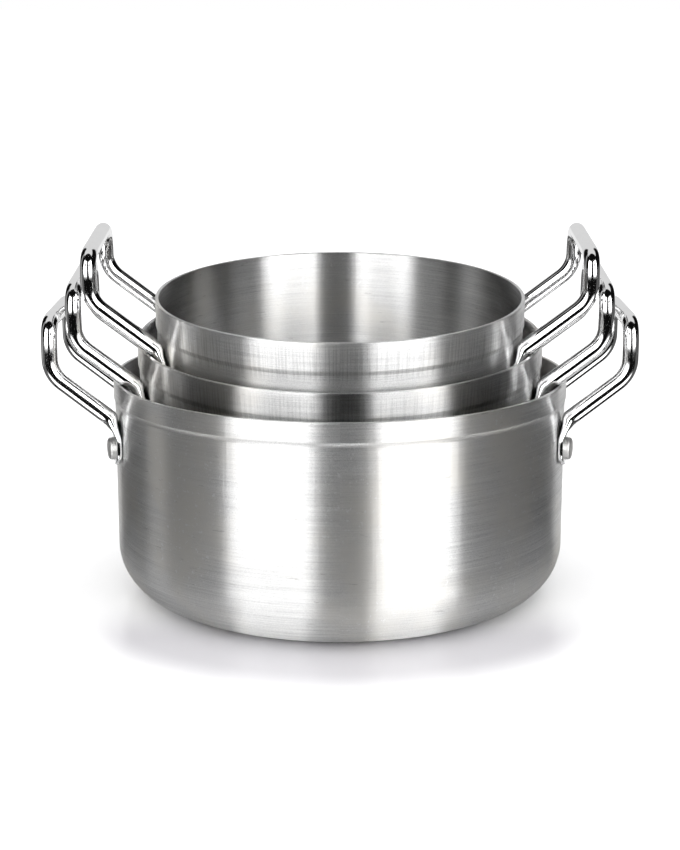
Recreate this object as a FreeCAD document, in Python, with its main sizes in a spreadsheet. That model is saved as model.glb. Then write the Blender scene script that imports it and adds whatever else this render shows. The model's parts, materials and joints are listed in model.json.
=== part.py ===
"""Nest of three aluminium stock pots, each with two riveted loop handles of chromed rod.

Frame: origin at the centre of the large pot's flat underside, +Z up, X through the handles.
Each pot is drawn upright in a frame of its own, whose origin is the centre of its underside,
and is then placed in the nest. The middle and the small pot lean a few degrees towards -Y,
because they hang loosely by their handle legs on the rim of the pot around them.
"""
import FreeCAD, Part
import math
import os

import Sketcher

V = FreeCAD.Vector
Rotation = FreeCAD.Rotation
Placement = FreeCAD.Placement

DIMENSIONS = [
    # alias, millimetres or degrees, what it is
    ("wall_thick", 1.6, "spun wall below the rim band"),
    ("base_thick", 2.6, "flat base"),
    ("corner_radius", 34.0, "outside radius between base and wall"),
    ("band_step", 0.8, "rim band stands proud of the wall"),
    ("step_height", 3.0, "height of the slope between wall and band"),
    ("rim_round", 0.7, "rounding of the rim's two edges"),
    ("rod_diameter", 10.6, "handle rod"),
    ("leg_spacing", 90.8, "between the two legs of one handle"),
    ("slope_angle", 38.0, "rise of the legs away from the wall"),
    ("slope_bend", 24.0, "centreline bend from slope to upright"),
    ("grip_bend", 13.0, "centreline bend from upright to grip"),
    ("knee_rise", 16.8, "where the slope meets the tab's middle plane, above the rivets"),
    ("neck_bend", 13.0, "centreline bend from the tab to the slope"),
    ("tab_width", 19.0, "flattened end of a leg"),
    ("tab_thick", 3.6, "flattened end of a leg"),
    ("fit_gap", 0.05, "air between riveted pieces"),
    ("shank_diameter", 5.0, "rivet shank"),
    ("head_diameter", 14.8, "outer rivet head"),
    ("head_height", 3.9, "outer rivet head"),
    ("head_round", 2.0, "rounded edge of the outer head"),
    ("inner_head_diameter", 11.0, "inner rivet head"),
    ("inner_head_height", 1.5, "inner rivet head"),
    ("inner_head_round", 1.1, "rounded edge of the inner head"),
    ("large_radius", 152.0, "outside radius of the rim band"),
    ("large_height", 148.2, "underside to rim"),
    ("large_band", 13.0, "depth of the rim band"),
    ("large_rivet_drop", 42.2, "rivets below the rim"),
    ("large_grip_reach", 36.3, "grip centreline outside the rim"),
    ("large_grip_rise", 83.3, "grip centreline above the rivets"),
    ("middle_radius", 135.4, "outside radius of the rim band"),
    ("middle_height", 131.0, "underside to rim"),
    ("middle_band", 16.0, "depth of the rim band"),
    ("middle_rivet_drop", 43.2, "rivets below the rim"),
    ("middle_grip_reach", 36.3, "grip centreline outside the rim"),
    ("middle_grip_rise", 83.3, "grip centreline above the rivets"),
    ("small_radius", 122.9, "outside radius of the rim band"),
    ("small_height", 118.0, "underside to rim"),
    ("small_band", 18.0, "depth of the rim band"),
    ("small_rivet_drop", 45.8, "rivets below the rim"),
    ("small_grip_reach", 38.0, "grip centreline outside the rim"),
    ("small_grip_rise", 81.3, "grip centreline above the rivets"),
    ("lean_angle", 5.0, "lean of the two inner pots towards -Y"),
    ("middle_rise", 25.6, "middle rim above the large rim, along Z"),
    ("small_rise", 28.0, "small rim above the middle rim, along their axis"),
]

POTS = ("large", "middle", "small")

doc = FreeCAD.newDocument("stock_pots")


# ---------------------------------------------------------------- spreadsheet

def make_sheet():
    """Put every driving dimension in one sheet: name, value and meaning per row."""
    sheet = doc.addObject("Spreadsheet::Sheet", "dims")
    sheet.Label = "dims"
    for row, (alias, value, meaning) in enumerate(DIMENSIONS, start=1):
        sheet.set(f"A{row}", alias)
        sheet.set(f"B{row}", str(value))
        sheet.set(f"C{row}", meaning)
        sheet.setAlias(f"B{row}", alias)
    doc.recompute()
    return sheet


dims = make_sheet()


def size(alias):
    """The number now in the sheet under this alias."""
    return float(getattr(dims, alias))


# ------------------------------------------------------------ sketch helpers

def origin_plane(body, role):
    """The body's own origin plane with this role, such as XY_Plane."""
    for feature in body.Origin.OriginFeatures:
        if feature.Role == role:
            return feature
    raise RuntimeError(f"{body.Label} has no {role}")


def new_body(label):
    body = doc.addObject("PartDesign::Body", label)
    body.Label = label
    return body


def new_sketch(body, name, role, offset=None, turn=None):
    """A sketch on an origin plane, moved by bound offsets and turned about one local axis.

    offset is three expressions or None, turn is (axis, expression in degrees).
    """
    sketch = body.newObject("Sketcher::SketchObject", name)
    sketch.AttachmentSupport = [(origin_plane(body, role), "")]
    sketch.MapMode = "FlatFace"
    if turn:
        axis, angle = turn
        sketch.AttachmentOffset = Placement(V(0, 0, 0), Rotation(axis, 1.0))
        sketch.setExpression("AttachmentOffset.Rotation.Angle", angle)
    for letter, expression in zip("xyz", offset or ()):
        sketch.setExpression(f"AttachmentOffset.Base.{letter}", expression)
    return sketch


def bind(sketch, kind, *args):
    """Add a dimension; the last argument is its expression, the one before its first guess."""
    *where, guess, expression = args
    index = sketch.addConstraint(Sketcher.Constraint(kind, *where, guess))
    sketch.setExpression(f"Constraints[{index}]", expression)


def polygon(sketch, corners):
    """A closed outline through corners, each an (x, y) pair of (guess, expression).

    Every corner is tied to the sketch origin. A zero is tied to an axis.
    """
    points = [V(x[0], y[0], 0) for x, y in corners]
    count = len(points)
    for index in range(count):
        sketch.addGeometry(Part.LineSegment(points[index], points[(index + 1) % count]), False)
    for index in range(count):
        sketch.addConstraint(
            Sketcher.Constraint("Coincident", index, 2, (index + 1) % count, 1))
    for index, (x, y) in enumerate(corners):
        tie_point(sketch, index, 1, x, y)


def tie_point(sketch, geometry, vertex, x, y):
    """Fix one sketch point by two bound distances from the sketch origin."""
    for kind, axis, (guess, expression) in (("DistanceX", -2, x), ("DistanceY", -1, y)):
        if expression == "0":
            sketch.addConstraint(Sketcher.Constraint("PointOnObject", geometry, vertex, axis))
        else:
            bind(sketch, kind, -1, 1, geometry, vertex, guess, expression)


def arc_between(centre, radius, start, end):
    """A counter-clockwise arc, angles in degrees."""
    circle = Part.Circle(V(centre[0], centre[1], 0), V(0, 0, 1), radius)
    return Part.ArcOfCircle(circle, math.radians(start), math.radians(end))


def edges_where(shape, test):
    """Names of the edges that pass the test."""
    return [f"Edge{number}" for number, edge in enumerate(shape.Edges, start=1) if test(edge)]


def fillet(body, name, base, edge_names, expression):
    if not edge_names:
        raise RuntimeError(f"{body.Label}: no edge for {name}")
    feature = body.newObject("PartDesign::Fillet", name)
    feature.Base = (base, edge_names)
    feature.setExpression("Radius", expression)
    return feature


def revolve(body, name, sketch, axis_name):
    feature = body.newObject("PartDesign::Revolution", name)
    feature.Profile = sketch
    feature.ReferenceAxis = (sketch, [axis_name])
    feature.Angle = 360.0
    return feature


def is_circle(edge, radius, height=None):
    """True for a full or partial circle of this radius, at this height if one is given."""
    curve = edge.Curve
    if not isinstance(curve, Part.Circle) or abs(curve.Radius - radius) > 1e-3:
        return False
    return height is None or abs(curve.Center.z - height) < 1e-3


# ----------------------------------------------------- derived pot geometry

SLOPE_CELL = "dims.slope_angle * 1 deg"
# half of the turn from the upright tab to the slope, in degrees
HALF_TURN = ((90 - size("slope_angle")) / 2, "(45 deg - dims.slope_angle * 0.5 deg)")
# a rod end is split here, each way from its outer side, to match the corners of the flat tab
ROD_CORNER = 60.0


class Pot:
    """Expressions and numbers that the pieces of one pot share."""

    def __init__(self, name):
        self.name = name
        keys = ("radius", "height", "band", "rivet_drop", "grip_reach", "grip_rise")
        cell = {key: f"dims.{name}_{key}" for key in keys}
        value = {key: size(f"{name}_{key}") for key in cell}
        self.rim = (value["radius"], cell["radius"])
        self.height = (value["height"], cell["height"])
        self.band_foot = (value["height"] - value["band"], f"{cell['height']} - {cell['band']}")
        self.wall = (self.rim[0] - size("band_step"), f"{cell['radius']} - dims.band_step")
        self.bore = (self.wall[0] - size("wall_thick"), f"{self.wall[1]} - dims.wall_thick")
        self.rivet_z = (value["height"] - value["rivet_drop"],
                        f"{cell['height']} - {cell['rivet_drop']}")
        # the tab's middle plane touches a cylinder of this radius
        self.tab_radius = (self.wall[0] + size("fit_gap") + size("tab_thick") / 2,
                           f"({self.wall[1]} + dims.fit_gap + dims.tab_thick / 2)")
        half = size("leg_spacing") / 2
        self.tab_angle = (math.degrees(math.asin(half / self.tab_radius[0])),
                          f"asin(dims.leg_spacing / 2 / {self.tab_radius[1]})")
        self.tab_x = (self.tab_radius[0] * math.cos(math.radians(self.tab_angle[0])),
                      f"{self.tab_radius[1]} * cos({self.tab_angle[1]})")
        # the neck: an arc from the top of the upright tab to the end of the sloping round rod
        slope = math.radians(size("slope_angle"))
        half_turn = math.radians(HALF_TURN[0])
        setback = size("neck_bend") * math.tan(half_turn)
        setback_cell = f"dims.neck_bend * tan({HALF_TURN[1]})"
        self.tab_rise = (size("knee_rise") - setback, f"(dims.knee_rise - {setback_cell})")
        self.tab_top = (self.rivet_z[0] + self.tab_rise[0],
                        f"{self.rivet_z[1]} + {self.tab_rise[1]}")
        # the thicker neck stands out from the wall by half of what it is thicker than the tab
        outward = (size("rod_diameter") - size("tab_thick")) / 4
        self.neck_x = (self.tab_x[0] + size("neck_bend") * (1 - math.cos(half_turn)) + outward,
                       f"{self.tab_x[1]} + dims.neck_bend * (1 - cos({HALF_TURN[1]}))"
                       " + (dims.rod_diameter - dims.tab_thick) / 4")
        self.neck_z = (self.tab_top[0] + size("neck_bend") * math.sin(half_turn),
                       f"{self.tab_top[1]} + dims.neck_bend * sin({HALF_TURN[1]})")
        self.rod_end_x = (self.tab_x[0] + setback * math.cos(slope),
                          f"{self.tab_x[1]} + {setback_cell} * cos({SLOPE_CELL})")
        self.rod_end_z = (self.rivet_z[0] + size("knee_rise") + setback * math.sin(slope),
                          f"{self.rivet_z[1]} + dims.knee_rise"
                          f" + {setback_cell} * sin({SLOPE_CELL})")
        self.grip_x = (self.rim[0] + value["grip_reach"],
                       f"{cell['radius']} + {cell['grip_reach']}")
        self.grip_z = (self.rivet_z[0] + value["grip_rise"],
                       f"{self.rivet_z[1]} + {cell['grip_rise']}")
        self.corner_z = (self.grip_z[0] - size("grip_bend"), f"{self.grip_z[1]} - dims.grip_bend")

    def placement(self):
        """Where this pot stands in the nest."""
        if self.name == "large":
            return Placement()
        lean = Rotation(V(1, 0, 0), size("lean_angle"))
        axis = lean.multVec(V(0, 0, 1))
        rim = V(0, 0, size("large_height") + size("middle_rise"))
        if self.name == "small":
            rim += axis * size("small_rise")
        return Placement(rim - axis * self.height[0], lean)


# --------------------------------------------------------------- the pieces

def make_shell(pot):
    """The spun pot: base, radiused corner, straight wall and a thicker rim band."""
    body = new_body(f"{pot.name}_pot")
    zero = (0.0, "0")
    step_foot = (pot.band_foot[0] - size("step_height"), f"{pot.band_foot[1]} - dims.step_height")
    floor = (size("base_thick"), "dims.base_thick")
    profile = new_sketch(body, f"{pot.name}_profile", "XZ_Plane")
    polygon(profile, [
        (zero, zero),
        (pot.wall, zero),
        (pot.wall, step_foot),
        (pot.rim, pot.band_foot),
        (pot.rim, pot.height),
        (pot.bore, pot.height),
        (pot.bore, floor),
        (zero, floor),
    ])
    spun = revolve(body, f"{pot.name}_spun", profile, "V_Axis")
    doc.recompute()

    outer = edges_where(spun.Shape, lambda edge: is_circle(edge, pot.wall[0], 0.0))
    outer_corner = fillet(body, f"{pot.name}_outer_corner", spun, outer, "dims.corner_radius")
    doc.recompute()
    inner = edges_where(outer_corner.Shape, lambda edge: is_circle(edge, pot.bore[0], floor[0]))
    inner_corner = fillet(body, f"{pot.name}_inner_corner", outer_corner, inner,
                          "dims.corner_radius - dims.wall_thick")
    doc.recompute()
    rims = edges_where(inner_corner.Shape,
                       lambda edge: is_circle(edge, pot.rim[0], pot.height[0])
                       or is_circle(edge, pot.bore[0], pot.height[0]))
    fillet(body, f"{pot.name}_rim", inner_corner, rims, "dims.rim_round")

    drill = new_sketch(body, f"{pot.name}_drill", "YZ_Plane",
                       turn=(V(0, 1, 0), f"-{pot.tab_angle[1]}"))
    radius = size("shank_diameter") / 2 + size("fit_gap")
    drill.addGeometry(Part.Circle(V(0, pot.rivet_z[0], 0), V(0, 0, 1), radius), False)
    tie_point(drill, 0, 3, zero, pot.rivet_z)
    bind(drill, "Radius", 0, radius, "dims.shank_diameter / 2 + dims.fit_gap")
    holes = through_pocket(body, f"{pot.name}_holes", drill)
    doc.recompute()
    mirror(body, f"{pot.name}_all_holes", [holes])
    return body


def through_pocket(body, name, sketch):
    """Cut the sketch right through, both ways from its plane."""
    feature = body.newObject("PartDesign::Pocket", name)
    feature.Profile = sketch
    feature.SideType = "Symmetric"
    feature.Type = "ThroughAll"
    return feature


def mirror(body, name, originals):
    """Repeat the features on the other side of the XZ plane."""
    feature = body.newObject("PartDesign::Mirrored", name)
    feature.Originals = originals
    feature.MirrorPlane = (origin_plane(body, "XZ_Plane"), [""])
    body.Tip = feature
    return feature


def leg_path(body, pot):
    """Centreline of one leg: up the slope, round the bend and upright to the grip's corner."""
    half = (size("leg_spacing") / 2, "dims.leg_spacing / 2")
    path = new_sketch(body, f"{body.Label}_leg_path", "XZ_Plane", offset=("0", "0", half[1]))
    slope = size("slope_angle")
    bend = size("slope_bend")
    knee_z = (pot.rod_end_z[0]
              + (pot.grip_x[0] - pot.rod_end_x[0]) * math.tan(math.radians(slope)))
    setback = bend * math.tan(math.radians((90 - slope) / 2))
    start = V(pot.rod_end_x[0], pot.rod_end_z[0], 0)
    bend_start = V(pot.grip_x[0] - setback * math.cos(math.radians(slope)),
                   knee_z - setback * math.sin(math.radians(slope)), 0)
    bend_end = V(pot.grip_x[0], knee_z + setback, 0)
    top = V(pot.grip_x[0], pot.corner_z[0], 0)
    path.addGeometry(Part.LineSegment(start, bend_start), False)
    path.addGeometry(arc_between((bend_end.x - bend, bend_end.y), bend, slope - 90, 0), False)
    path.addGeometry(Part.LineSegment(bend_end, top), False)
    path.addConstraint(Sketcher.Constraint("Tangent", 0, 2, 1, 1))
    path.addConstraint(Sketcher.Constraint("Tangent", 1, 2, 2, 1))
    tie_point(path, 0, 1, pot.rod_end_x, pot.rod_end_z)
    tie_point(path, 2, 2, pot.grip_x, pot.corner_z)
    path.addConstraint(Sketcher.Constraint("Vertical", 2))
    bind(path, "Radius", 1, bend, "dims.slope_bend")
    bind(path, "Angle", 0, math.radians(slope), SLOPE_CELL)
    return path


def grip_path(body, pot):
    """Centreline of the grip: round one corner, along Y and round the other corner."""
    half = size("leg_spacing") / 2
    bend = size("grip_bend")
    path = new_sketch(body, f"{body.Label}_grip_path", "YZ_Plane", offset=("0", "0", pot.grip_x[1]))
    low = pot.corner_z[0]
    path.addGeometry(arc_between((-half + bend, low), bend, 90, 180), False)
    path.addGeometry(Part.LineSegment(V(-half + bend, low + bend, 0),
                                      V(half - bend, low + bend, 0)), False)
    path.addGeometry(arc_between((half - bend, low), bend, 0, 90), False)
    path.addConstraint(Sketcher.Constraint("Tangent", 0, 1, 1, 1))
    path.addConstraint(Sketcher.Constraint("Tangent", 1, 2, 2, 2))
    path.addConstraint(Sketcher.Constraint("Equal", 0, 2))
    path.addConstraint(Sketcher.Constraint("Horizontal", 1))
    tie_point(path, 0, 2, (-half, "0 - dims.leg_spacing / 2"), pot.corner_z)
    tie_point(path, 2, 1, (half, "dims.leg_spacing / 2"), pot.corner_z)
    bind(path, "Radius", 0, bend, "dims.grip_bend")
    return path


def rod_section(body, pot, name):
    """The rod's circle where an upright leg meets the grip's corner."""
    half = size("leg_spacing") / 2
    radius = size("rod_diameter") / 2
    section = new_sketch(body, f"{body.Label}_{name}", "XY_Plane",
                         offset=("0", "0", pot.corner_z[1]))
    section.addGeometry(Part.Circle(V(pot.grip_x[0], -half, 0), V(0, 0, 1), radius), False)
    tie_point(section, 0, 3, pot.grip_x, (-half, "0 - dims.leg_spacing / 2"))
    bind(section, "Radius", 0, radius, "dims.rod_diameter / 2")
    return section


def sweep(body, name, section, path):
    feature = body.newObject("PartDesign::AdditivePipe", name)
    feature.Profile = section
    feature.Spine = (path, ["Edge1", "Edge2", "Edge3"])
    return feature


def rod_end_section(body, pot):
    """The round rod's end, square to the slope, as four arcs that match the tab's four sides."""
    sketch = new_sketch(body, f"{body.Label}_rod_end", "XY_Plane",
                        offset=(pot.rod_end_x[1], "0 - dims.leg_spacing / 2", pot.rod_end_z[1]),
                        turn=(V(0, 1, 0), f"2 * {HALF_TURN[1]}"))
    radius = size("rod_diameter") / 2
    stops = (-ROD_CORNER, ROD_CORNER, 180 - ROD_CORNER, 180 + ROD_CORNER, 360 - ROD_CORNER)
    for start, end in zip(stops, stops[1:]):
        sketch.addGeometry(arc_between((0, 0), radius, start, end), False)
    for index in range(4):
        sketch.addConstraint(Sketcher.Constraint("Coincident", index, 2, (index + 1) % 4, 1))
        sketch.addConstraint(Sketcher.Constraint("Coincident", index, 3, -1, 1))
    bind(sketch, "Radius", 0, radius, "dims.rod_diameter / 2")
    # equal corners on both sides of the local x axis
    sketch.addConstraint(Sketcher.Constraint("Symmetric", 0, 1, 0, 2, -1))
    sketch.addConstraint(Sketcher.Constraint("Symmetric", 2, 1, 2, 2, -1))
    sketch.addConstraint(Sketcher.Constraint("Symmetric", 0, 2, 1, 2, -2))
    bind(sketch, "DistanceX", -1, 1, 0, 2, radius * math.cos(math.radians(ROD_CORNER)),
         f"dims.rod_diameter / 2 * cos({ROD_CORNER} deg)")
    return sketch


def flat_section(body, pot, name, offset, tilt, width, thick):
    """A flattened rod, its two flat faces tangent to the wall and its two edges full-round."""
    offset = (offset[0], "0 - dims.leg_spacing / 2", offset[1])
    sketch = new_sketch(body, f"{body.Label}_{name}", "XY_Plane", offset=offset, turn=tilt)
    along = Rotation(V(0, 0, 1), -pot.tab_angle[0])
    edge = thick[0] / 2
    flat = width[0] / 2 - edge
    corners = [along.multVec(V(x, y, 0)) for x, y in
               ((edge, -flat), (edge, flat), (-edge, flat), (-edge, -flat))]
    ends = [along.multVec(V(0, y, 0)) for y in (flat, -flat)]
    turn = -pot.tab_angle[0]
    sketch.addGeometry(Part.LineSegment(corners[0], corners[1]), False)
    sketch.addGeometry(arc_between(ends[0], edge, turn, turn + 180), False)
    sketch.addGeometry(Part.LineSegment(corners[2], corners[3]), False)
    sketch.addGeometry(arc_between(ends[1], edge, turn + 180, turn + 360), False)
    for index in range(4):
        sketch.addConstraint(Sketcher.Constraint("Tangent", index, 2, (index + 1) % 4, 1))
    sketch.addConstraint(Sketcher.Constraint("Symmetric", 1, 3, 3, 3, -1, 1))
    bind(sketch, "Angle", 0, math.radians(90 + turn), f"90 deg - {pot.tab_angle[1]}")
    bind(sketch, "Radius", 1, edge, f"{thick[1]} / 2")
    bind(sketch, "Distance", 3, 3, 1, 3, 2 * flat, f"{width[1]} - {thick[1]}")
    return sketch


def neck_section(body, pot):
    """Half way round the neck the rod is half flattened."""
    width = ((size("rod_diameter") + size("tab_width")) / 2,
             "(dims.rod_diameter + dims.tab_width) / 2")
    thick = ((size("rod_diameter") + size("tab_thick")) / 2,
             "(dims.rod_diameter + dims.tab_thick) / 2")
    return flat_section(body, pot, "neck_section", (pot.neck_x[1], pot.neck_z[1]),
                        (V(0, 1, 0), HALF_TURN[1]), width, thick)


def tab_section(body, pot):
    """The top of the flat tab, level."""
    width = (size("tab_width"), "dims.tab_width")
    thick = (size("tab_thick"), "dims.tab_thick")
    return flat_section(body, pot, "tab_section", (pot.tab_x[1], pot.tab_top[1]),
                        None, width, thick)


def tab_cut(body, pot):
    """What is cut from the tab: the corners outside its round end, and the rivet hole."""
    sketch = new_sketch(body, f"{body.Label}_tab_cut", "YZ_Plane",
                        offset=("0 - dims.leg_spacing / 2", pot.rivet_z[1], pot.tab_x[1]),
                        turn=(V(0, 1, 0), f"-{pot.tab_angle[1]}"))
    half = size("tab_width") / 2
    outside = 2 * half
    corners = [(-half, 0), (-outside, 0), (-outside, -outside), (outside, -outside),
               (outside, 0), (half, 0)]
    for start, end in zip(corners, corners[1:]):
        sketch.addGeometry(Part.LineSegment(V(*start, 0), V(*end, 0)), False)
    for index in range(4):
        sketch.addConstraint(Sketcher.Constraint("Coincident", index, 2, index + 1, 1))
    sketch.addGeometry(arc_between((0, 0), half, 180, 360), False)
    sketch.addConstraint(Sketcher.Constraint("Coincident", 4, 2, 5, 2))
    sketch.addConstraint(Sketcher.Constraint("Coincident", 5, 1, 0, 1))
    sketch.addConstraint(Sketcher.Constraint("Coincident", 5, 3, -1, 1))
    for index in (0, 4):
        sketch.addConstraint(Sketcher.Constraint("Horizontal", index))
    for index in (1, 3):
        sketch.addConstraint(Sketcher.Constraint("Vertical", index))
    for vertex in (1, 2):
        sketch.addConstraint(Sketcher.Constraint("PointOnObject", 5, vertex, -1))
    sketch.addConstraint(Sketcher.Constraint("Symmetric", 2, 1, 2, 2, -2))
    bind(sketch, "Radius", 5, half, "dims.tab_width / 2")
    bind(sketch, "DistanceX", -1, 1, 2, 2, outside, "dims.tab_width")
    bind(sketch, "DistanceY", 2, 2, -1, 1, outside, "dims.tab_width")
    radius = size("shank_diameter") / 2 + size("fit_gap")
    sketch.addGeometry(Part.Circle(V(0, 0, 0), V(0, 0, 1), radius), False)
    sketch.addConstraint(Sketcher.Constraint("Coincident", 6, 3, -1, 1))
    bind(sketch, "Radius", 6, radius, "dims.shank_diameter / 2 + dims.fit_gap")
    return sketch


def make_handle(pot, side):
    """A loop handle bent from one rod, its two ends flattened into riveted tabs."""
    body = new_body(f"{pot.name}_{side}_handle")
    label = body.Label
    grip = sweep(body, f"{label}_grip", rod_section(body, pot, "grip_section"),
                 grip_path(body, pot))
    doc.recompute()
    leg = sweep(body, f"{label}_leg", rod_section(body, pot, "leg_section"), leg_path(body, pot))
    doc.recompute()
    flat = tab_section(body, pot)
    neck = body.newObject("PartDesign::AdditiveLoft", f"{label}_neck")
    neck.Profile = rod_end_section(body, pot)
    neck.Sections = [neck_section(body, pot), flat]
    doc.recompute()
    tab = body.newObject("PartDesign::Pad", f"{label}_tab")
    tab.Profile = flat
    tab.Reversed = True
    tab.setExpression("Length", f"{pot.tab_rise[1]} + dims.tab_width / 2")
    doc.recompute()
    trimmed = through_pocket(body, f"{label}_trimmed", tab_cut(body, pot))
    doc.recompute()
    mirror(body, f"{label}_both_legs", [leg, neck, tab, trimmed])
    return body


def make_rivet(pot, side, end):
    """A rivet along X: low inner head, shank through wall and tab, tall outer head.

    Its own origin is on the outside of the wall.
    """
    body = new_body(f"{pot.name}_{side}_{end}_rivet")
    label = body.Label
    zero = (0.0, "0")
    shank = (size("shank_diameter") / 2, "dims.shank_diameter / 2")
    head = (size("head_diameter") / 2, "dims.head_diameter / 2")
    inner = (size("inner_head_diameter") / 2, "dims.inner_head_diameter / 2")
    # a flat head on the curved bore rests on two edge points, this far in from the bore
    sag_number = pot.bore[0] - math.sqrt(pot.bore[0] ** 2 - inner[0] ** 2)
    sag = f"(({pot.bore[1]}) - sqrt(({pot.bore[1]}) ^ 2 - ({inner[1]}) ^ 2))"
    inner_seat = (-(size("wall_thick") + sag_number + size("fit_gap")),
                  f"0 - dims.wall_thick - {sag} - dims.fit_gap")
    inner_end = (inner_seat[0] - size("inner_head_height"),
                 f"{inner_seat[1]} - dims.inner_head_height")
    seat = (size("tab_thick") + 2 * size("fit_gap"), "dims.tab_thick + 2 * dims.fit_gap")
    top = (seat[0] + size("head_height"), f"{seat[1]} + dims.head_height")
    profile = new_sketch(body, f"{label}_profile", "XZ_Plane")
    polygon(profile, [
        (inner_end, zero),
        (top, zero),
        (top, head),
        (seat, head),
        (seat, shank),
        (inner_seat, shank),
        (inner_seat, inner),
        (inner_end, inner),
    ])
    turned = revolve(body, f"{label}_turned", profile, "H_Axis")
    doc.recompute()

    def rim_at(shape, radius, x):
        return edges_where(shape, lambda edge: is_circle(edge, radius)
                           and abs(edge.Curve.Center.x - x) < 1e-3)

    outer_rim = rim_at(turned.Shape, head[0], top[0])
    rounded = fillet(body, f"{label}_outer_round", turned, outer_rim, "dims.head_round")
    doc.recompute()
    inner_rim = rim_at(rounded.Shape, inner[0], inner_end[0])
    fillet(body, f"{label}_inner_round", rounded, inner_rim, "dims.inner_head_round")
    return body


def rivet_placement(pot, side, end):
    """Turn the rivet from X to its place round the pot, and push it out to the wall."""
    angle = pot.tab_angle[0] if end == "rear" else -pot.tab_angle[0]
    if side == "left":
        angle = 180 - angle
    turn = Rotation(V(0, 0, 1), angle)
    return Placement(turn.multVec(V(pot.wall[0], 0, 0)) + V(0, 0, pot.rivet_z[0]), turn)


def make_nest():
    """All sub-parts, each placed in the nest."""
    pieces = []
    half_turn = Placement(V(0, 0, 0), Rotation(V(0, 0, 1), 180))
    for name in POTS:
        pot = Pot(name)
        nest = pot.placement()
        shell = make_shell(pot)
        shell.Placement = nest
        pieces.append(shell)
        for side in ("left", "right"):
            handle = make_handle(pot, side)
            handle.Placement = nest.multiply(half_turn) if side == "left" else nest
            pieces.append(handle)
            for end in ("front", "rear"):
                rivet = make_rivet(pot, side, end)
                rivet.Placement = nest.multiply(rivet_placement(pot, side, end))
                pieces.append(rivet)
    return pieces


def check(pieces):
    """Stop before writing anything if a feature failed or a piece is not one valid solid."""
    for item in doc.Objects:
        if "Invalid" in item.State or "Error" in item.State:
            raise RuntimeError(f"{item.Label} failed: {item.State}")
    for piece in pieces:
        shape = piece.Shape
        if shape.isNull() or not shape.isValid() or len(shape.Solids) != 1:
            raise RuntimeError(f"{piece.Label} is not one valid solid")
        print(f"{piece.Label:28s} {shape.Volume / 1000:9.3f} cm3")


pieces = make_nest()
doc.recompute()
check(pieces)
os.makedirs("parts", exist_ok=True)
for piece in pieces:
    piece.Shape.exportStep(f"parts/{piece.Label}.step")
print(f"{len(pieces)} parts written")
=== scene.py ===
import json
import math

import bmesh
import bpy
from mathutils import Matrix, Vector


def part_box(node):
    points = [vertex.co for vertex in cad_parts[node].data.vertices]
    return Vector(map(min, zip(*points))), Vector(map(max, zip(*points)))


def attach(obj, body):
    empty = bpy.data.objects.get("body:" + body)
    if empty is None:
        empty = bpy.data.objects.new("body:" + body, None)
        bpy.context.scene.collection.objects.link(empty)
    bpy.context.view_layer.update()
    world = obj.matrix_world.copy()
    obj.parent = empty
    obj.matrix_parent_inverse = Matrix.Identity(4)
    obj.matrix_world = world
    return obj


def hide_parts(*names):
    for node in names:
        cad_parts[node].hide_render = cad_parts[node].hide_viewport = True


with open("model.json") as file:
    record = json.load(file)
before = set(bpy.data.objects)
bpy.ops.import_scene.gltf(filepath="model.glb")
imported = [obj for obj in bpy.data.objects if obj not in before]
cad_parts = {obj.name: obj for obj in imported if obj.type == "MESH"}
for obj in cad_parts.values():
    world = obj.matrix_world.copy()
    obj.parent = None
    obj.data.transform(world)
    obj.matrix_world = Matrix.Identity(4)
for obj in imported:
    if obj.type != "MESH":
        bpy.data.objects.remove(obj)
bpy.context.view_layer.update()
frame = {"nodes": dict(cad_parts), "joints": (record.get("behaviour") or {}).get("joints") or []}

POTS = ("large", "middle", "small")


# ------------------------------------------------------------------ the frame

def lean_axis(pot):
    """The direction of a pot's own axis. The inner pots lift out along theirs."""
    for joint in frame["joints"]:
        if joint["child"] == pot:
            return Vector(joint["axis"]).normalized()
    return Vector((0, 0, 1))


def pot_frame(pot):
    """The centre of a pot's rim, its axis and its rim radius, worked out from its box."""
    low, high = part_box(f"{pot}_pot")
    axis = lean_axis(pot)
    radius = (high.x - low.x) / 2
    # the rim's highest and lowest points lie this far from its centre, across the lean
    highest = high.z - radius * abs(axis.y)
    front = low.y + radius * axis.z
    return Vector(((low.x + high.x) / 2, front, highest)), axis, radius


RIM_RADIUS = pot_frame("large")[2]


# ------------------------------------------------------------- node shorthand

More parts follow.
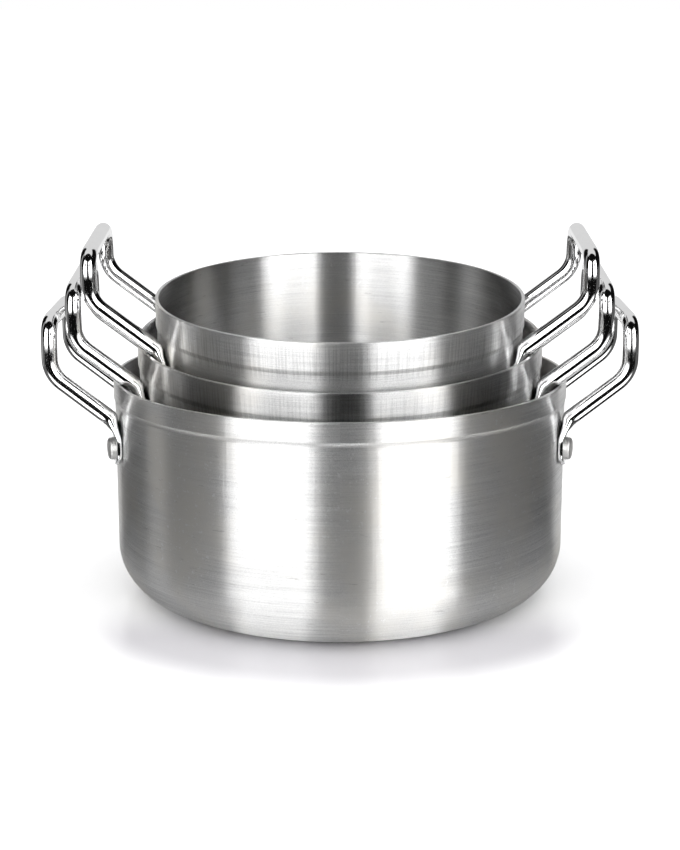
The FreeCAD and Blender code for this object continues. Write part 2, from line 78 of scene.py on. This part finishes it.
class Nodes:
    """Short calls to build one node tree."""

    def __init__(self, tree):
        self.tree = tree
        tree.nodes.clear()

    def add(self, kind, **settings):
        node = self.tree.nodes.new(kind)
        for name, value in settings.items():
            setattr(node, name, value)
        return node

    def plug(self, value, socket):
        """Link an output, or set a plain value."""
        if isinstance(value, bpy.types.NodeSocket):
            self.tree.links.new(value, socket)
        elif value is not None:
            socket.default_value = value

    def math(self, operation, first, second=None, third=None, clamp=False):
        node = self.add("ShaderNodeMath", operation=operation, use_clamp=clamp)
        for value, socket in zip((first, second, third), node.inputs):
            self.plug(value, socket)
        return node.outputs[0]

    def vector(self, operation, first, second=None):
        node = self.add("ShaderNodeVectorMath", operation=operation)
        self.plug(first, node.inputs[0])
        self.plug(second, node.inputs[1])
        scalar = operation in ("DOT_PRODUCT", "LENGTH")
        return node.outputs["Value" if scalar else "Vector"]

    def combine(self, x, y, z):
        node = self.add("ShaderNodeCombineXYZ")
        for value, socket in zip((x, y, z), node.inputs):
            self.plug(value, socket)
        return node.outputs[0]

    def separate(self, vector):
        node = self.add("ShaderNodeSeparateXYZ")
        self.plug(vector, node.inputs[0])
        return node.outputs

    def ramp(self, value, low, high, out_low=0.0, out_high=1.0, smooth=True):
        node = self.add("ShaderNodeMapRange")
        node.interpolation_type = "SMOOTHSTEP" if smooth else "LINEAR"
        for item, socket in zip((value, low, high, out_low, out_high), node.inputs):
            self.plug(item, socket)
        return node.outputs[0]

    def window(self, value, low, high, soft):
        """1 between low and high, falling to 0 over soft at each end."""
        rise = self.ramp(value, low - soft / 2, low + soft / 2)
        fall = self.ramp(value, high - soft / 2, high + soft / 2, 1.0, 0.0)
        return self.math("MULTIPLY", rise, fall)

    def noise(self, vector, scale, detail=2.0, roughness=0.5):
        node = self.add("ShaderNodeTexNoise")
        self.plug(vector, node.inputs["Vector"])
        node.inputs["Scale"].default_value = scale
        node.inputs["Detail"].default_value = detail
        node.inputs["Roughness"].default_value = roughness
        return node.outputs["Fac"]

    def bump(self, height, distance, strength=1.0, normal=None):
        node = self.add("ShaderNodeBump")
        node.inputs["Distance"].default_value = distance
        node.inputs["Strength"].default_value = strength
        self.plug(height, node.inputs["Height"])
        self.plug(normal, node.inputs["Normal"])
        return node.outputs[0]

    def glossy(self, color, roughness, normal, anisotropy=0.0, tangent=None):
        """A metal lobe. Above 0, anisotropy narrows it along the tangent and widens it across."""
        node = self.add("ShaderNodeBsdfAnisotropic", distribution="GGX")
        self.plug(color, node.inputs["Color"])
        self.plug(roughness, node.inputs["Roughness"])
        self.plug(anisotropy, node.inputs["Anisotropy"])
        self.plug(normal, node.inputs["Normal"])
        self.plug(tangent, node.inputs["Tangent"])
        return node.outputs[0]

    def mix_shader(self, factor, first, second):
        node = self.add("ShaderNodeMixShader")
        for value, socket in zip((factor, first, second), node.inputs):
            self.plug(value, socket)
        return node.outputs[0]

    def finish(self, surface):
        output = self.add("ShaderNodeOutputMaterial")
        self.plug(surface, output.inputs["Surface"])

    def mix_color(self, factor, first, second):
        node = self.add("ShaderNodeMix", data_type="RGBA")
        self.plug(factor, node.inputs["Factor"])
        self.plug(first, node.inputs[6])
        self.plug(second, node.inputs[7])
        return node.outputs[2]


def new_material(name):
    material = bpy.data.materials.new(name)
    material.use_nodes = True
    return material, Nodes(material.node_tree)


# -------------------------------------------------------------------- metals

# share of the broad lobe in the aluminium, outside
HAZE = {"large": 0.20, "middle": 0.0, "small": 0.22}
HAZE_INSIDE = 0.10
# how dark the streaks along the axis are in the bands under the rims, and their height
STREAKS = {"large": 0.0, "middle": 0.18, "small": 0.22}
STREAK_HEIGHT = {"large": 0.00003, "middle": 0.00001, "small": 0.00002}
# depth of the rim bands; the edge under each is rubbed bright
BAND = {"large": 0.0122, "middle": 0.016, "small": 0.018}
BRIGHT_EDGE = {"large": 0.5, "middle": 0.0, "small": 0.0}
# roughness and anisotropy of the tight lobe; the drawn middle pot scatters further up and down
TIGHT = {"large": (0.30, 0.66), "middle": (0.34, 0.735), "small": (0.30, 0.66)}
# the inside's normals are turned this far outwards along x and up, to place its highlights
INSIDE_SPREAD = 0.15
INSIDE_LIFT = 0.2
# painted shade on the inside: how far its colour is darkened towards black
INSIDE_SHADE_SEEN_IN_ITSELF = 0.45      # light lost each time the inside is seen in itself
INSIDE_SHADE = 0.12     # light lost where the inside is seen directly

# noise patterns on the pots: steps per radian round the axis, and per metre along it
GROOVES = (2.5, 1100.0)
RINGS = (0.8, 130.0)
DRAWN_STREAKS = (110.0, 20.0)
SCRATCHES = (9.0, 420.0)
GROOVE_HEIGHT = 0.000015
GROOVE_SHARE = 0.7      # of the shading; the rings have the rest
GRAIN_SHARE = 0.5
DRAWN_DEPTHS = (0.003, 0.024)   # where the streaks lie below the rim
EDGE_DEPTHS = (0.0002, 0.0024)  # where the rubbed edge lies below the band

METAL_DARK = (0.62, 0.62, 0.62, 1)
METAL_LIGHT = (0.97, 0.97, 0.965, 1)
METAL_WORN = (0.86, 0.84, 0.80, 1)
SCRATCH_TINT = (0.40, 0.39, 0.38, 1)
STREAK_TINT = (0.2, 0.2, 0.2, 1)
WHITE = (1.0, 1.0, 1.0, 1)
BLACK = (0, 0, 0, 1)


def round_the_pot(nodes, around, depth, steps):
    """Coordinates for a noise that runs round the pot and along its axis."""
    return nodes.combine(nodes.math("MULTIPLY", around, steps[0]), 0.0,
                         nodes.math("MULTIPLY", depth, steps[1]))


def spun_aluminium(pot):
    """Aluminium brushed round the pot's axis.

    The tight lobe is narrow round the pot and wide along its axis, as fine grooves make it. The
    broad lobe is the haze of a worn surface.
    """
    material, nodes = new_material(f"{pot}_spun_aluminium")
    rim, axis, radius = pot_frame(pot)
    coords = nodes.add("ShaderNodeTexCoord").outputs["Object"]
    from_rim = nodes.vector("SUBTRACT", coords, tuple(rim))
    depth = nodes.math("MULTIPLY", nodes.vector("DOT_PRODUCT", from_rim, tuple(axis)), -1.0)
    parts = nodes.separate(from_rim)
    around = nodes.math("ARCTAN2", parts[0], parts[1])
    circle = nodes.vector("NORMALIZE", nodes.vector("CROSS_PRODUCT", tuple(axis), from_rim))

    # fine grooves run round the pot, and are about a millimetre apart where one is deeper
    lines = round_the_pot(nodes, around, depth, GROOVES)
    brushed = nodes.noise(lines, 1.0, detail=3.0, roughness=0.65)
    # turning marks: faint wide rings
    ring = nodes.noise(round_the_pot(nodes, around, depth, RINGS), 1.0, detail=2.0)
    # short streaks along the axis from drawing the wall
    streak = nodes.noise(round_the_pot(nodes, around, depth, DRAWN_STREAKS), 1.0, detail=2.0)
    # a sparse set of scratches, mostly round the pot
    marks = round_the_pot(nodes, around, depth, SCRATCHES)
    scratch = nodes.ramp(nodes.noise(marks, 1.0, detail=4.0, roughness=0.7), 0.62, 0.70)
    cloud = nodes.noise(coords, 16.0, detail=4.0)
    grain = nodes.noise(coords, 1500.0, detail=2.0)

    flat_out = nodes.combine(parts[0], parts[1], 0.0)
    facing = nodes.vector("DOT_PRODUCT", nodes.add("ShaderNodeNewGeometry").outputs["Normal"],
                          nodes.vector("NORMALIZE", flat_out))
    inside = nodes.math("LESS_THAN", facing, -0.5)
    outside = nodes.math("SUBTRACT", 1.0, inside)

    shade = nodes.math("MULTIPLY_ADD", ring, 1 - GROOVE_SHARE,
                       nodes.math("MULTIPLY", brushed, GROOVE_SHARE))
    shade = nodes.math("MULTIPLY_ADD", grain, GRAIN_SHARE, shade)
    shade = nodes.ramp(shade, 0.55, 0.95, 0.0, 1.0, smooth=False)
    plain = nodes.mix_color(shade, METAL_DARK, METAL_LIGHT)
    color = nodes.mix_color(nodes.ramp(cloud, 0.42, 0.72), plain, METAL_WORN)
    color = nodes.mix_color(nodes.math("MULTIPLY", scratch, 0.5), color, SCRATCH_TINT)
    # patches of tiny light nicks
    nick = nodes.ramp(nodes.noise(coords, 420.0, detail=3.0, roughness=0.6), 0.60, 0.68)
    patch = nodes.ramp(nodes.noise(coords, 14.0, detail=1.0), 0.50, 0.60)
    nicked = nodes.math("MULTIPLY", nodes.math("MULTIPLY", nick, patch), 0.7)
    color = nodes.mix_color(nicked, color, WHITE)
    drawn = nodes.math("MULTIPLY", nodes.window(depth, *DRAWN_DEPTHS, 0.008),
                       nodes.ramp(streak, 0.46, 0.60))
    drawn = nodes.math("MULTIPLY", drawn, outside)
    color = nodes.mix_color(nodes.math("MULTIPLY", drawn, STREAKS[pot]), color, STREAK_TINT)
    normal = nodes.bump(streak, STREAK_HEIGHT[pot])
    normal = nodes.bump(brushed, GROOVE_HEIGHT, normal=normal)
    widened = nodes.math("MULTIPLY_ADD", inside, INSIDE_SPREAD, 1.0)
    stretch = nodes.vector("MULTIPLY", normal, nodes.combine(widened, 1.0, 1.0))
    lift = nodes.combine(0.0, 0.0, nodes.math("MULTIPLY", inside, INSIDE_LIFT))
    normal = nodes.vector("NORMALIZE", nodes.vector("ADD", stretch, lift))
    # painted shade: the inside's colour is darkened, more where it is seen in itself
    bounced = nodes.math("MULTIPLY", inside,
                         nodes.add("ShaderNodeLightPath").outputs["Is Glossy Ray"])
    painted_inside_shade = nodes.math("MULTIPLY_ADD", bounced, INSIDE_SHADE_SEEN_IN_ITSELF,
                      nodes.math("MULTIPLY", inside, INSIDE_SHADE))
    color = nodes.mix_color(painted_inside_shade, color, BLACK)
    roughness, anisotropy = TIGHT[pot]
    tight_roughness = nodes.math("MULTIPLY_ADD", brushed, 0.08, roughness)
    tight = nodes.glossy(color, tight_roughness, normal, anisotropy, circle)
    broad = nodes.glossy(color, nodes.math("MULTIPLY_ADD", cloud, 0.1, 0.55), normal)
    haze = nodes.math("MULTIPLY_ADD", inside, HAZE_INSIDE - HAZE[pot], HAZE[pot])
    above, below = EDGE_DEPTHS
    edge = nodes.window(depth, BAND[pot] + above, BAND[pot] + below, 0.0008)
    edge = nodes.math("MULTIPLY", edge, outside)
    haze = nodes.math("MULTIPLY_ADD", edge, BRIGHT_EDGE[pot], haze, clamp=True)
    nodes.finish(nodes.mix_shader(haze, tight, broad))
    return material


def polished_chrome():
    """Bright polished rod with the slightest waviness and a little haze."""
    material, nodes = new_material("polished_chrome")
    coords = nodes.add("ShaderNodeTexCoord").outputs["Object"]
    wave = nodes.noise(coords, 70.0, detail=1.0)
    smear = nodes.noise(coords, 260.0, detail=4.0, roughness=0.6)
    color = nodes.mix_color(wave, (0.90, 0.90, 0.905, 1), (0.96, 0.96, 0.96, 1))
    roughness = nodes.math("MULTIPLY_ADD", smear, 0.08, 0.05)
    nodes.finish(nodes.glossy(color, roughness, nodes.bump(wave, 0.0002)))
    return material


def satin_rivet():
    """Satin aluminium of the rivet heads."""
    material, nodes = new_material("satin_rivet")
    coords = nodes.add("ShaderNodeTexCoord").outputs["Object"]
    grain = nodes.noise(coords, 700.0, detail=3.0)
    color = nodes.mix_color(grain, (0.74, 0.735, 0.72, 1), (0.90, 0.895, 0.88, 1))
    roughness = nodes.math("MULTIPLY_ADD", grain, 0.14, 0.40)
    nodes.finish(nodes.glossy(color, roughness, nodes.bump(grain, 0.00005)))
    return material


def dress_nodes():
    """Materials for the pots and rivets of the frame; the handles are built anew."""
    rivet = satin_rivet()
    for pot in POTS:
        shell = spun_aluminium(pot)
        for name, node in frame["nodes"].items():
            if not name.startswith(pot + "_") or name.endswith("_handle"):
                continue
            node.data.materials.clear()
            node.data.materials.append(rivet if name.endswith("_rivet") else shell)


# ------------------------------------------------------------------- handles

MM = 0.001
ROD = 10.6 * MM             # diameter of the round rod
HALF_SPACING = 45.4 * MM    # from the middle of the handle to a leg
TAB_WIDTH = 19.0 * MM
TAB_THICK = 3.6 * MM
TAB_DROP = 2.0 * MM         # from the rivet down to the centre of the tab's round end
SLOPE = math.radians(38)
KNEE_RISE = 16.95 * MM      # the slope's centreline meets the tab's middle plane here
LOW_BEND = 20.0 * MM        # centreline bend from the slope to the upright
GRIP_BEND = 13.0 * MM       # centreline bend from the upright to the grip
EASED_BEND = 1.45           # the eased corner's reach and pull, in bend radii
EASED_PULL = 1.15
TAB_BASE = 0.75 * MM        # rim band to the inner face of the tab, inwards
NECK_START = 2.5 * MM       # above the rivet, where the tab starts to narrow
NECK_END = 4.5 * MM         # outward of the tab, where the neck has become round rod
NECK_LEAD = 4.0 * MM        # past that end, the point that sets the curve's last direction
SHORTEST_UPRIGHT = 1.0 * MM     # straight rod that stays between the two bends
RING_POINTS = 56
# the neck, from the flat tab to the round rod: outward and up from the rivet, width, thickness
# and how much of the tab's turn to the wall is left
NECK = [
    (0.0, 5.5, 19.0, 3.6, 1.0),
    (0.25, 9.0, 17.5, 3.8, 0.8),
    (0.95, 12.6, 14.8, 4.6, 0.5),
    (2.3, 16.2, 12.4, 7.0, 0.15),
]


def oval(width, thick):
    """Points round a flattened rod at even steps: (outward, sideways)."""
    radius = thick / 2
    flat = width / 2 - radius
    round_length = math.pi * radius
    total = 4 * flat + 2 * round_length
    points = []
    for index in range(RING_POINTS):
        run = (index / RING_POINTS * total + total) % total
        # start in the middle of the outward flat, towards +sideways
        if run < flat:
            points.append((radius, run))
        elif run < flat + round_length:
            turn = (run - flat) / radius
            points.append((radius * math.cos(turn), flat + radius * math.sin(turn)))
        elif run < 3 * flat + round_length:
            points.append((-radius, flat - (run - flat - round_length)))
        elif run < 3 * flat + 2 * round_length:
            turn = math.pi + (run - 3 * flat - round_length) / radius
            points.append((radius * math.cos(turn), -flat + radius * math.sin(turn)))
        else:
            points.append((radius, run - total))
    return points


class Handle:
    """Sizes of one pot's handles, in the pot's own frame: x outward, y along the grip, z up."""

    def __init__(self, pot):
        self.rim, self.axis, radius = pot_frame(pot)
        self.outward = Vector((1, 0, 0))
        self.along = self.axis.cross(self.outward)
        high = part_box(f"{pot}_right_handle")[1]
        rivet_low, rivet_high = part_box(f"{pot}_right_front_rivet")
        rivet = (rivet_low + rivet_high) / 2 - self.rim
        self.rivet_z = rivet.dot(self.axis)
        tab_radius = radius - TAB_BASE + TAB_THICK / 2
        self.turn = math.asin(HALF_SPACING / tab_radius)
        self.tab_x = tab_radius * math.cos(self.turn)
        self.grip_x = high.x - ROD / 2 - self.rim.x
        # the highest point lies on the rear corner, where the leaning grip points up most
        lean = -self.axis.y
        reach = GRIP_BEND + ROD / 2 + (HALF_SPACING - GRIP_BEND) * lean
        self.corner_z = (high.z - self.rim.z - reach) / self.axis.z

    def place(self, point, side):
        """A point of the pot's frame in the row frame. The left handle is turned half round."""
        x, y, z = point
        return self.rim + self.outward * (x * side) + self.along * (y * side) + self.axis * z


def ring(centre, tangent, sideways, width, thick):
    """One oval section, square to the tangent."""
    sideways = (sideways - tangent * sideways.dot(tangent)).normalized()
    out = sideways.cross(tangent)
    return [centre + out * x + sideways * y for x, y in oval(width, thick)]


def smooth_curve(values, share):
    """Catmull-Rom through four rows of numbers."""
    before, first, second, after = values
    result = []
    for a, b, c, d in zip(before, first, second, after):
        result.append(0.5 * (2 * b + (c - a) * share + (2 * a - 5 * b + 4 * c - d) * share ** 2
                             + (3 * b - a - 3 * c + d) * share ** 3))
    return result


def cubic(controls, share):
    """Point and tangent of a cubic curve."""
    a, b, c, d = controls
    rest = 1 - share
    point = (a * rest ** 3 + b * (3 * rest ** 2 * share) + c * (3 * rest * share ** 2)
             + d * share ** 3)
    tangent = (b - a) * rest ** 2 + (c - b) * (2 * rest * share) + (d - c) * share ** 2
    return point, tangent.normalized()


def leg_stations(handle):
    """Centre, tangent, width, thickness and turn down one front leg, from tab tip to grip."""
    up = Vector((0, 0, 1))
    slope = Vector((math.cos(SLOPE), 0, math.sin(SLOPE)))
    base = Vector((handle.tab_x, -HALF_SPACING, handle.rivet_z))
    stations = []
    half = TAB_WIDTH / 2
    # the tab's round end: a half disc with a full-round edge
    edge = TAB_THICK / 2
    foot = base - up * TAB_DROP
    for step in range(1, 5):
        angle = math.radians(90 - 90 * step / 5)
        stations.append((foot + up * (-(half - edge) - edge * math.sin(angle)), up,
                         2 * edge * math.cos(angle), 2 * edge * math.cos(angle), 1.0))
    for step in range(0, 13):
        angle = math.radians(90 - 90 * step / 12)
        flat = (half - edge) * math.cos(angle)
        stations.append((foot + up * (-(half - edge) * math.sin(angle)), up,
                         2 * (flat + edge), TAB_THICK, 1.0))
    stations.append((base + up * NECK_START, up, TAB_WIDTH, TAB_THICK, 1.0))

    rows = [[x * MM, z * MM, width * MM, thick * MM, turn] for x, z, width, thick, turn in NECK]
    slope_z = KNEE_RISE + NECK_END * math.tan(SLOPE)
    rows.append([NECK_END, slope_z, ROD, ROD, 0.0])
    rows.append([NECK_END + NECK_LEAD, slope_z + NECK_LEAD * math.tan(SLOPE), ROD, ROD, 0.0])
    rows.insert(0, [0.0, NECK_START, TAB_WIDTH, TAB_THICK, 1.0])
    fine = []
    for index in range(1, len(rows) - 2):
        for step in range(6):
            fine.append(smooth_curve(rows[index - 1:index + 3], step / 6))
    fine.append(rows[-2])
    for index, (x, z, width, thick, turn) in enumerate(fine):
        ahead = fine[min(index + 1, len(fine) - 1)]
        behind = fine[max(index - 1, 0)]
        tangent = Vector((ahead[0] - behind[0], 0, ahead[1] - behind[1])).normalized()
        if index == 0:
            tangent = up
        if index == len(fine) - 1:
            tangent = slope
        stations.append((base + Vector((x, 0, z)), tangent, width, max(thick, TAB_THICK), turn))

    # straight slope, bend, upright
    knee_z = KNEE_RISE + (handle.grip_x - handle.tab_x) * math.tan(SLOPE)
    setback = LOW_BEND * math.tan((math.pi / 2 - SLOPE) / 2)
    start = base + Vector((NECK_END, 0, slope_z))
    bend_start = base + Vector((handle.grip_x - handle.tab_x, 0, knee_z)) - slope * setback
    for step in range(1, 9):
        stations.append((start.lerp(bend_start, step / 8), slope, ROD, ROD, 0.0))
    centre = Vector((handle.grip_x - LOW_BEND, -HALF_SPACING, handle.rivet_z + knee_z + setback))
    for step in range(1, 19):
        angle = (SLOPE - math.pi / 2) * (1 - step / 18)
        out = Vector((math.cos(angle), 0, math.sin(angle)))
        tangent = Vector((-math.sin(angle), 0, math.cos(angle)))
        stations.append((centre + out * LOW_BEND, tangent, ROD, ROD, 0.0))
    # the grip's corner eases in and out of its bend, so it starts further down than a plain arc
    low = stations[-1][0]
    corner = Vector((low.x, low.y, handle.corner_z + GRIP_BEND))
    ease = min(EASED_BEND * GRIP_BEND, corner.z - low.z - SHORTEST_UPRIGHT)
    pull = ease * EASED_PULL / EASED_BEND
    sideways = Vector((0, 1, 0))
    high = corner - up * ease
    for step in range(1, 7):
        stations.append((low.lerp(high, step / 6), up, ROD, ROD, 0.0))
    controls = (high, high + up * pull, corner + sideways * (ease - pull),
                corner + sideways * ease)
    for step in range(1, 25):
        stations.append((*cubic(controls, step / 24), ROD, ROD, 0.0))
    start = stations[-1][0]
    middle = Vector((start.x, 0, start.z))
    for step in range(1, 9):
        stations.append((start.lerp(middle, step / 8), Vector((0, 1, 0)), ROD, ROD, 0.0))
    return stations


def handle_rings(handle):
    """All rings of a handle, the rear half as the mirror image of the front half."""
    rings = []
    for centre, tangent, width, thick, turn in leg_stations(handle):
        left = handle.turn * turn
        if abs(tangent.y) > 0.001:
            sideways = tangent.cross(Vector((1, 0, 0)))
        else:
            sideways = Vector((math.sin(left), math.cos(left), 0))
        rings.append(ring(centre, tangent, sideways, width, thick))
    mirrored = [[Vector((p.x, -p.y, p.z)) for p in points] for points in rings[-2::-1]]
    return rings + mirrored


def build_handle(pot, side_name, material):
    """A loop handle swept as one skin, with round rod, flattened necks and riveted tabs."""
    handle = Handle(pot)
    side = 1 if side_name == "right" else -1
    rings = handle_rings(handle)
    tip = Vector((handle.tab_x, -HALF_SPACING, handle.rivet_z - TAB_DROP - TAB_WIDTH / 2))
    mesh = bmesh.new()
    loops = [[mesh.verts.new(handle.place(point, side)) for point in points] for points in rings]
    for lower, upper in zip(loops, loops[1:]):
        for index in range(RING_POINTS):
            after = (index + 1) % RING_POINTS
            mesh.faces.new((lower[index], lower[after], upper[after], upper[index]))
    for loop, mirror in ((loops[0], 1), (loops[-1], -1)):
        end = mesh.verts.new(handle.place((tip.x, tip.y * mirror, tip.z), side))
        for index in range(RING_POINTS):
            mesh.faces.new((loop[index], end, loop[(index + 1) % RING_POINTS]))
    bmesh.ops.recalc_face_normals(mesh, faces=mesh.faces)
    data = bpy.data.meshes.new(f"{pot}_{side_name}_loop")
    mesh.to_mesh(data)
    mesh.free()
    data.shade_smooth()
    data.materials.append(material)
    item = bpy.data.objects.new(f"{pot}_{side_name}_loop", data)
    bpy.context.scene.collection.objects.link(item)
    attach(item, pot)
    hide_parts(f"{pot}_{side_name}_handle")


def build_handles():
    chrome = polished_chrome()
    for pot in POTS:
        for side_name in ("left", "right"):
            build_handle(pot, side_name, chrome)


# -------------------------------------------------------------------- studio

TABLE_RADIUS = 1.5 * RIM_RADIUS
FLOOR_RADIUS = 400 * RIM_RADIUS
TABLE_TINT = (0.96, 0.96, 0.965, 1)
# painted reflection and shadow of the pot on the table, in front of it
PAINTED_REFLECTION_TINTS = ((0.665, 0.655, 0.685, 1), (0.68, 0.67, 0.695, 1))
FAR_TINTS = ((0.95, 0.95, 0.955, 1), (0.96, 0.96, 0.965, 1))
# painted shade and light: the metal sees the table in these tints instead, dimmed, with painted
# light at the bearings below, in degrees from the camera's side
PAINTED_SHADE_TABLE_IN_METAL = (0.46, 0.46, 0.465, 1)
PAINTED_LIGHT_TABLE_IN_METAL = (0.97, 0.97, 0.97, 1)
PAINTED_LIGHT_LEFT = (-30.0, -9.0)
PAINTED_LIGHT_RIGHT = (9.0, 29.0)
PAINTED_LIGHT_SOFTNESS = 6.0
TABLE_ROUGHNESS = 0.22
MIRROR_ROUGHNESS = 0.15
MIRROR_SHARE = 0.2


def disc(name, inner, outer, height, steps=96):
    """A flat ring, or a disc where inner is 0, centred under the object."""
    mesh = bpy.data.meshes.new(name)
    angles = [2 * math.pi * step / steps for step in range(steps)]
    rings = [outer] if inner == 0 else [inner, outer]
    points = [(r * math.cos(a), r * math.sin(a), height) for r in rings for a in angles]
    if inner == 0:
        faces = [tuple(range(steps))]
    else:
        faces = [(i, steps + i, steps + (i + 1) % steps, (i + 1) % steps) for i in range(steps)]
    mesh.from_pydata(points, [], faces)
    item = bpy.data.objects.new(name, mesh)
    bpy.context.scene.collection.objects.link(item)
    return item


def floor_material():
    """Pale, slightly glossy table top, with the pot's reflection and shadow painted a little
    darker in front of it.
    """
    material, nodes = new_material("pale_table")
    coords = nodes.add("ShaderNodeTexCoord").outputs["Object"]
    grain = nodes.noise(coords, 30.0, detail=2.0)
    parts = nodes.separate(coords)
    # painted reflection and shadow: in front of the pot the table is tinted darker, fading out
    # towards the table's edge
    mirrored = nodes.math("MULTIPLY",
                          nodes.window(parts[0], -RIM_RADIUS, RIM_RADIUS, 0.3 * RIM_RADIUS),
                          nodes.ramp(parts[1], -0.8 * RIM_RADIUS, -0.3 * RIM_RADIUS, 1.0, 0.0))
    away = nodes.vector("LENGTH", coords)
    edge = nodes.ramp(away, 1.15 * RIM_RADIUS, 0.97 * TABLE_RADIUS)
    painted_reflection_tint = nodes.mix_color(grain, *PAINTED_REFLECTION_TINTS)
    shade = nodes.math("MULTIPLY", mirrored, nodes.math("SUBTRACT", 1.0, edge))
    color = nodes.mix_color(shade, TABLE_TINT, painted_reflection_tint)
    seen = nodes.add("ShaderNodeLightPath").outputs["Is Glossy Ray"]
    # painted shade and light: seen in the metal, the table takes a dim tint, with painted light
    # in two windows of bearing
    bearing = nodes.math("DEGREES", nodes.math(
        "ARCTAN2", parts[0], nodes.math("MULTIPLY", parts[1], -1.0)))
    lit = nodes.math("ADD", nodes.window(bearing, *PAINTED_LIGHT_LEFT, PAINTED_LIGHT_SOFTNESS),
                     nodes.window(bearing, *PAINTED_LIGHT_RIGHT, PAINTED_LIGHT_SOFTNESS))
    color = nodes.mix_color(seen, color, nodes.mix_color(lit, PAINTED_SHADE_TABLE_IN_METAL, PAINTED_LIGHT_TABLE_IN_METAL))
    shader = nodes.add("ShaderNodeBsdfPrincipled")
    nodes.plug(color, shader.inputs["Base Color"])
    shader.inputs["Roughness"].default_value = TABLE_ROUGHNESS
    mirror = nodes.glossy(WHITE, MIRROR_ROUGHNESS, None)
    mirrors = nodes.math("MULTIPLY", seen, MIRROR_SHARE)
    polished = nodes.mix_shader(mirrors, shader.outputs[0], mirror)
    # it turns matt towards its edge, where the floor beyond carries on
    matt = nodes.add("ShaderNodeBsdfDiffuse")
    nodes.plug(color, matt.inputs["Color"])
    nodes.finish(nodes.mix_shader(edge, polished, matt.outputs[0]))
    return material


def far_material():
    """The table top beyond the reflections, quite matt."""
    material, nodes = new_material("pale_floor")
    shader = nodes.add("ShaderNodeBsdfDiffuse")
    coords = nodes.add("ShaderNodeTexCoord").outputs["Object"]
    grain = nodes.noise(coords, 30.0, detail=2.0)
    color = nodes.mix_color(grain, *FAR_TINTS)
    nodes.plug(color, shader.inputs["Color"])
    nodes.finish(shader.outputs[0])
    return material


def make_floor():
    table = disc("table", 0, TABLE_RADIUS, 0.0)
    table.data.materials.append(floor_material())
    far = disc("far_floor", TABLE_RADIUS, FLOOR_RADIUS, 0.0)
    far.data.materials.append(far_material())
    far.visible_glossy = False


# what the metal sees: boxes of direction, by azimuth from the camera's side to the right and by
# elevation, in degrees
LIGHTS = [
    # azimuth low, high, softness, elevation low, high, softness, strength
    (-57, -12, 4, -4, 40, 14, 4.2),         # left soft box
    (18, 60, 4, -4, 40, 14, 4.8),           # right soft box
    (23, 46, 4, 19, 30, 4, -4.8),           # dark flag in front of the right box
    (-46, -23, 4, 19, 30, 4, -4.2),         # dark flag in front of the left box
    (-12, 18, 4, -2, 41, 4, 0.02),          # gap between them
    (-142, -63, 4, -45, 5, 4, 0.12),        # room on the left
    (-112, -96, 4, -20, 50, 4, 0.30),       # narrow panel on the left
    (66, 136, 4, -45, 5, 4, 0.10),          # darker room on the right
    (140, 212, 4, -90, 0, 4, 0.9),          # backdrop, low
    (150, 210, 6, 0, 50, 4, 0.72),          # backdrop, high
    (86, 274, 6, 50, 100, 4, 0.72),         # ceiling behind
    (-146, 66, 4, -90, -50, 4, 0.12),       # table
    (-62, -17, 6, -66, -27, 6, 2.4),        # table in front of the left box
    (22, 62, 6, -66, -27, 6, 2.2),          # table in front of the right box
]
ROOM = 0.004                        # what the metal sees outside all the boxes
DOME = 1.52                         # even light on the table


def make_world():
    """A dark room with soft boxes for the metal, an even dome for the table, white behind."""
    world = bpy.data.worlds.new("studio")
    bpy.context.scene.world = world
    world.use_nodes = True
    world.cycles.sampling_method = "NONE"
    nodes = Nodes(world.node_tree)
    direction = nodes.add("ShaderNodeTexCoord").outputs["Generated"]
    x, y, z = nodes.separate(direction)
    azimuth = nodes.math("DEGREES", nodes.math(
        "ARCTAN2", x, nodes.math("MULTIPLY", y, -1.0)))
    wrapped = nodes.math("ADD", azimuth, nodes.math("MULTIPLY",
                         nodes.math("LESS_THAN", azimuth, 0.0), 360.0))
    elevation = nodes.math("DEGREES", nodes.math("ARCSINE", z))
    total = ROOM
    for left, right, side_soft, low, high, end_soft, strength in LIGHTS:
        # a box that starts right of the camera may run on past 180 degrees
        angle = wrapped if left > 0 else azimuth
        box = nodes.math("MULTIPLY", nodes.window(angle, left, right, side_soft),
                         nodes.window(elevation, low, high, end_soft))
        total = nodes.math("MULTIPLY_ADD", box, strength, total)
    path = nodes.add("ShaderNodeLightPath").outputs
    level = nodes.math("ADD", total, nodes.math(
        "MULTIPLY", path["Is Diffuse Ray"], nodes.math("SUBTRACT", DOME, total)))
    lit = nodes.add("ShaderNodeBackground")
    nodes.plug(nodes.combine(level, level, level), lit.inputs["Color"])
    white = nodes.add("ShaderNodeBackground")
    white.inputs["Color"].default_value = WHITE
    output = nodes.add("ShaderNodeOutputWorld")
    nodes.plug(nodes.mix_shader(path["Is Camera Ray"], lit.outputs[0], white.outputs[0]),
               output.inputs["Surface"])


CAMERA_ELEVATION = math.radians(13.43)
CAMERA_DISTANCE = 8 * RIM_RADIUS
CAMERA_TARGET = Vector((0, 0, 0.728 * RIM_RADIUS))
CAMERA_LENS = 75.7


def make_camera():
    data = bpy.data.cameras.new("camera")
    data.lens = CAMERA_LENS
    data.clip_end = 100
    camera = bpy.data.objects.new("camera", data)
    bpy.context.scene.collection.objects.link(camera)
    back = Vector((0, -math.cos(CAMERA_ELEVATION), math.sin(CAMERA_ELEVATION)))
    camera.location = CAMERA_TARGET + back * CAMERA_DISTANCE
    camera.rotation_euler = (-back).to_track_quat("-Z", "Y").to_euler()
    bpy.context.scene.camera = camera


dress_nodes()
build_handles()
make_floor()
make_world()
make_camera()
bpy.context.scene.view_settings.view_transform = "Standard"
